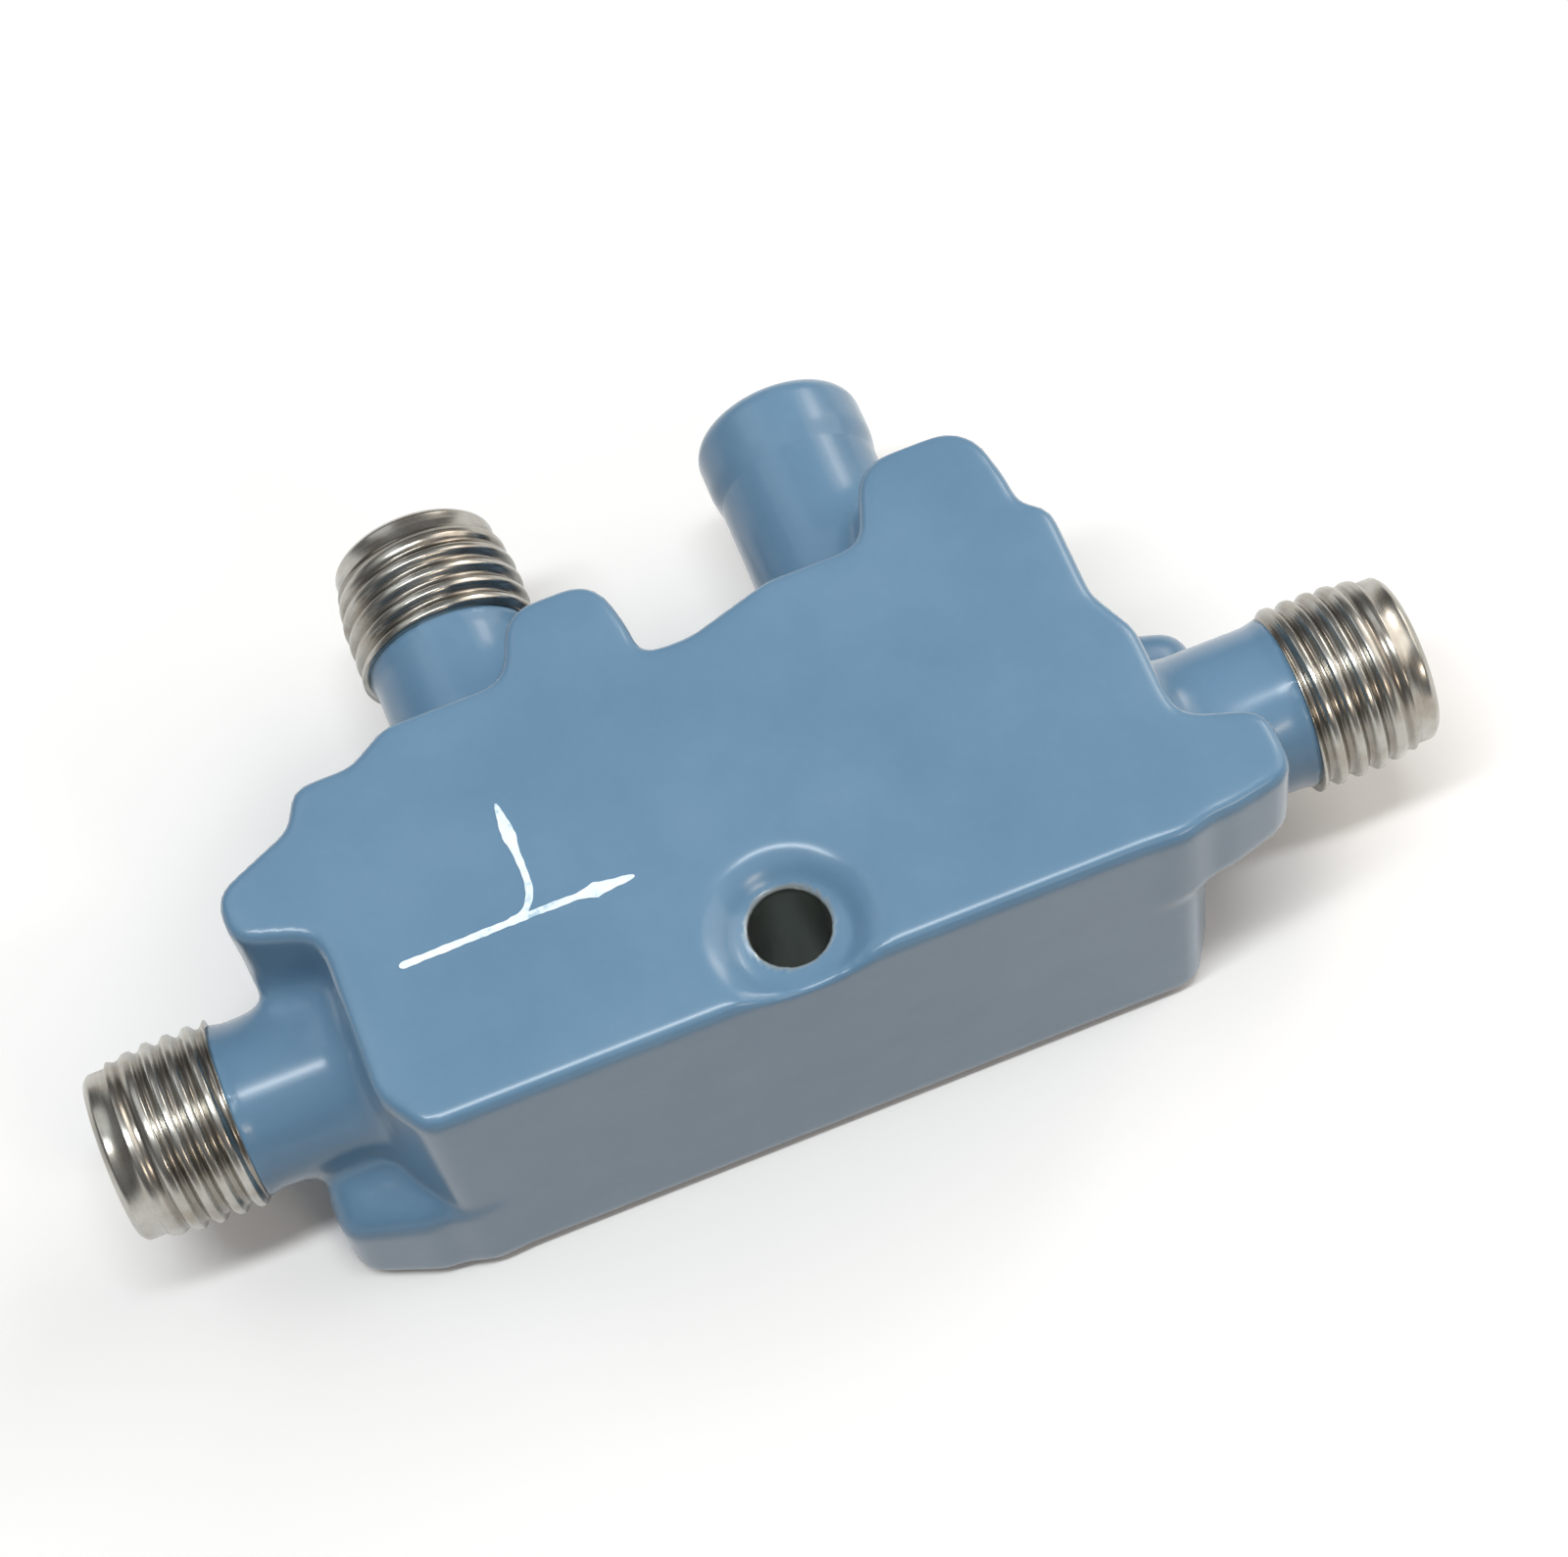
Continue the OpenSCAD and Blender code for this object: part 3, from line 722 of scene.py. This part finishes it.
def bend(points, r):
    """A profile with its inner corners rounded."""
    points = [np.array(p) for p in points]
    out = [points[0]]
    for a, b, c in zip(points, points[1:], points[2:]):
        e1, e2 = a - b, c - b
        l1, l2 = np.linalg.norm(e1), np.linalg.norm(e2)
        t = min(r, l1 * BEND_SHARE, l2 * BEND_SHARE)
        p, q = b + e1 / l1 * t, b + e2 / l2 * t
        for k in range(BEND_STEPS + 1):
            s = k / BEND_STEPS
            out.append((1 - s) ** 2 * p + 2 * s * (1 - s) * b + s * s * q)
    out.append(points[-1])
    return out


def port_shell(name, port, reach):
    """Threaded shell whose crests are turned down towards a smooth collar."""
    start = reach - EXPOSED - SHELL_SINK
    stop = reach - COLLAR
    rows = [(start, SHELL_BORE, False), (start, NECK_RADIUS, False)]
    for u in np.linspace(start, stop, THREAD_ROWS):
        taper = smooth_step((u - stop) / CREST_TAPER + 1)
        rows.append((u, THREAD_RADIUS - taper * CREST_DROP * (THREAD_RADIUS - COLLAR_RADIUS), True))
    tip = [
        (stop + COLLAR_STEP, COLLAR_RADIUS),
        (reach - TIP_BEVEL, COLLAR_RADIUS),
        (reach, COLLAR_RADIUS - TIP_BEVEL),
        (reach, SOCKET_RADIUS + SOCKET_BEVEL),
        (reach - SOCKET_BEVEL, SOCKET_RADIUS),
        (reach - SOCKET_DEPTH, SOCKET_RADIUS),
        (reach - SOCKET_DEPTH, SHELL_BORE),
    ]
    rows += [(u, r, False) for u, r in bend(tip, TIP_ROUND)]
    piece = lathe(name, rows, STEEL, port_matrix(port), SHELL_STEPS)
    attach(piece, "root")
    return piece


for name, reach in OPEN_PORTS.items():
    shell = port_shell(name + "_thread", PORTS[name], reach)
    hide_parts(name + "_shell")


def load_cap():
    """Painted cap, blended into its boss by the paint."""
    start = LOAD_BOSS - CAP_OVERLAP
    tip = LOAD_BOSS + CAP_LENGTH
    root = NECK_RADIUS - CAP_SINK
    rows = [(start, CAP_BORE, False)]
    for t in np.linspace(0, 1, 9):
        rows.append((start + CAP_SWELL * t, root + (CAP_RADIUS - root) * smooth_step(t), False))
    for angle in np.linspace(0, math.pi / 2, 13):
        back = CAP_ROUND * (1 - math.sin(angle))
        rows.append((tip - back, CAP_RADIUS - CAP_ROUND * (1 - math.cos(angle)), False))
    rows += [(tip, r, False) for r in CAP_FACE_RADII]
    piece = lathe("load_cap_painted", rows, ENAMEL, port_matrix(PORTS["load"]), CAP_STEPS)
    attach(piece, "root")
    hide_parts("load_cap")


load_cap()


# Printed arrow on the top face, in millimetres

INK_HEIGHT = 0.03
INK_SINK = 0.02
INK_STEP = 0.004
START_LENGTH = 0.15
START_SHARE = 0.15
WAVER = (0.07, 5.1)
FINE_WAVER = (0.05, 13.7)
SPLINE_END = 0.0001
HEAD_PLACES = (0, 0.12, 1.3, 1.75, 1.9)
HEAD_TIP = (0.03, 0.09)
HEAD_FOOT = 1.15

Stroke = namedtuple("Stroke", "points count line head")
STROKES = [
    Stroke(
        points=[(-11.74, 3.2), (-9.8, 3.22), (-7.6, 3.25), (-5.8, 3.24), (-3.9, 3.2)],
        count=90,
        line=0.12,
        head=0.25,
    ),
    Stroke(
        points=[
            (-8.1, 3.26),
            (-7.6, 3.36),
            (-7.3, 3.65),
            (-7.12, 4.05),
            (-7.06, 4.6),
            (-7.08, 5.6),
            (-7.13, 7.3),
        ],
        count=70,
        line=0.115,
        head=0.24,
    ),
]


def spline(points, count):
    """Points on a smooth curve through the given ones."""
    points = np.array(points, float)
    pad = np.vstack([2 * points[0] - points[1], points, 2 * points[-1] - points[-2]])
    out = []
    for s in np.linspace(0, len(points) - 1 - SPLINE_END, count):
        i, t = int(s), s - int(s)
        p0, p1, p2, p3 = pad[i : i + 4]
        square = 2 * p0 - 5 * p1 + 4 * p2 - p3
        cube = 3 * p1 - p0 - 3 * p2 + p3
        out.append(0.5 * (2 * p1 + (p2 - p0) * t + square * t**2 + cube * t**3))
    return np.array(out)


def stroke_edges(points, half_widths):
    """Left and right edges of a ribbon along a line."""
    along = np.gradient(points, axis=0)
    along /= np.linalg.norm(along, axis=1)[:, None]
    side = np.stack([-along[:, 1], along[:, 0]], 1) * half_widths[:, None]
    return points + side, points - side


def stroke_widths(length, line, head, shift):
    """Half widths of a stroke that starts round, ends in a slim arrow head and wavers like print."""
    left = length[-1] - length
    half = np.interp(left, HEAD_PLACES, [*HEAD_TIP, head, line * HEAD_FOOT, line])
    waver = WAVER[0] * np.sin(length * WAVER[1] + shift)
    fine = FINE_WAVER[0] * np.sin(length * FINE_WAVER[1])
    half *= 1 + waver + fine
    return half * np.sqrt(np.clip(length / START_LENGTH + START_SHARE, 0, 1))


def ribbon_faces(base, n):
    """Faces of a closed ribbon: top left, top right, bottom left and bottom right rows of n points."""
    a, b, c, d = base, base + n, base + 2 * n, base + 3 * n
    faces = []
    for i in range(n - 1):
        faces.append((a + i, b + i, b + i + 1, a + i + 1))
        faces.append((c + i, c + i + 1, d + i + 1, d + i))
        faces.append((a + i, a + i + 1, c + i + 1, c + i))
        faces.append((b + i, d + i, d + i + 1, b + i + 1))
    faces.append((a, c, d, b))
    faces.append((a + n - 1, b + n - 1, d + n - 1, c + n - 1))
    return faces


def arrow_print():
    vertices = []
    faces = []
    for k, stroke in enumerate(STROKES):
        points = spline(stroke.points, stroke.count)
        length = np.concatenate([[0], np.cumsum(np.linalg.norm(np.diff(points, axis=0), axis=1))])
        left, right = stroke_edges(points, stroke_widths(length, stroke.line, stroke.head, k))
        faces += ribbon_faces(len(vertices), len(points))
        for z in (HEIGHT + INK_HEIGHT - INK_STEP * k, HEIGHT - INK_SINK):
            vertices += [(x, y, z) for x, y in left] + [(x, y, z) for x, y in right]
    piece = mesh_piece("arrow_print", np.array(vertices) * MM, faces, INK, smooth=False)
    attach(piece, "root")


arrow_print()


# Looks of the solids that stay

FINISH = {
    "base_cover": ENAMEL,
    "cover_screws": STEEL,
    "lower_sheet": INSULATOR,
    "upper_sheet": INSULATOR,
    "load_bead": INSULATOR,
    "main_line": COPPER,
    "coupled_line": COPPER,
    "load_rod": RESISTOR,
    "load_contact": GOLD,
}
for port in OPEN_PORTS:
    FINISH[port + "_insulator"] = INSULATOR
    FINISH[port + "_contact"] = GOLD
for name, material in FINISH.items():
    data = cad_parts[name].data
    data.materials.clear()
    data.materials.append(material)


# Floor, lights and camera, in metres

FLOOR_HALF = 3.0
FLOOR_DROP = 0.00002
FLOOR_SEEN = [(0.3, grey(0.91)), (0.7, grey(0.93))]
FLOOR_BOUNCE = 0.12
LAMP_AIM = Vector((0, 0.006, 0.006))
LAMP_DISTANCE = 0.5
COOL = (0.96, 0.99, 1.0)
WARM = (1.0, 0.84, 0.68)
SOFT_WARM = (1.0, 0.92, 0.83)
SKY = [(0.0, 0.50), (0.12, 0.34), (0.22, 0.11), (0.6, 0.235), (1.0, 0.40)]
CAMERA_PLACE = Vector((-7.675, -49.861, 125.166)) * MM
CAMERA_TURN = Quaternion((0.95599, 0.225819, 0.00548, -0.187238))
SENSOR_WIDTH = 36
LENS = 91.4


def floor():
    """Pale paper that sends less light back to the part's sides than it shows."""
    n = Nodes("floor_paper")
    patch = n.noise(8, 3, 0.5)
    path = n.add("ShaderNodeLightPath")
    direct = n.either(path.outputs["Is Camera Ray"], path.outputs["Is Glossy Ray"])
    direct = n.either(direct, path.outputs["Is Transmission Ray"])
    colour = n.mix(direct, grey(FLOOR_BOUNCE), n.ramp(patch, FLOOR_SEEN))
    normal = n.bump(n.noise(900, 2), 0.05, 0.00005)
    paper = n.finish(colour, n.spread(patch, 0.85, 0.95), normal, Specular_IOR_Level=0.1)
    h = FLOOR_HALF
    piece = mesh_piece("floor", [(-h, -h, 0), (h, -h, 0), (h, h, 0), (-h, h, 0)], [(0, 1, 2, 3)], paper)
    piece.location.z = -FLOOR_DROP


floor()


def lamp(name, direction, size, power, colour):
    """Rectangular light that faces the part, with its first side along X."""
    data = bpy.data.lights.new(name, "AREA")
    data.shape = "RECTANGLE"
    data.size, data.size_y = size
    data.energy = power
    data.color = colour
    thing = bpy.data.objects.new(name, data)
    bpy.context.scene.collection.objects.link(thing)
    away = Vector(direction).normalized()
    thing.location = LAMP_AIM + away * LAMP_DISTANCE
    across = (Vector((1, 0, 0)) - away * away.x).normalized()
    thing.rotation_euler = Matrix((across, away.cross(across), away)).transposed().to_euler()


lamp("overhead", (-0.12, -0.10, 0.98), (0.36, 0.045), 1.5, COOL)
lamp("front_warm", (0.32, -0.73, 0.60), (0.14, 0.05), 0.34, WARM)
lamp("back_left", (-0.44, 0.50, 0.75), (0.26, 0.30), 0.20, COOL)
lamp("right_soft", (0.80, 0.16, 0.57), (0.42, 0.46), 1.15, SOFT_WARM)
lamp("right_back", (0.70, 0.45, 0.55), (0.10, 0.16), 0.28, SOFT_WARM)


def studio():
    """Grey surroundings that change with height only."""
    world = bpy.data.worlds.new("studio")
    bpy.context.scene.world = world
    world.use_nodes = True
    tree = world.node_tree
    coords = tree.nodes.new("ShaderNodeTexCoord")
    split = tree.nodes.new("ShaderNodeSeparateXYZ")
    ramp = tree.nodes.new("ShaderNodeValToRGB")
    set_stops(ramp, [(place, grey(level)) for place, level in SKY])
    tree.links.new(coords.outputs["Generated"], split.inputs[0])
    tree.links.new(split.outputs["Z"], ramp.inputs["Fac"])
    tree.links.new(ramp.outputs["Color"], tree.nodes["Background"].inputs["Color"])
    tree.nodes["Background"].inputs["Strength"].default_value = 1.0


studio()


def camera():
    data = bpy.data.cameras.new("camera")
    data.sensor_fit = "HORIZONTAL"
    data.sensor_width = SENSOR_WIDTH
    data.lens = LENS
    data.clip_start = 0.005
    data.clip_end = 10
    thing = bpy.data.objects.new("camera", data)
    bpy.context.scene.collection.objects.link(thing)
    thing.location = CAMERA_PLACE
    thing.rotation_mode = "QUATERNION"
    thing.rotation_quaternion = CAMERA_TURN
    bpy.context.scene.camera = thing


camera()

bpy.context.scene.view_settings.view_transform = "Standard"
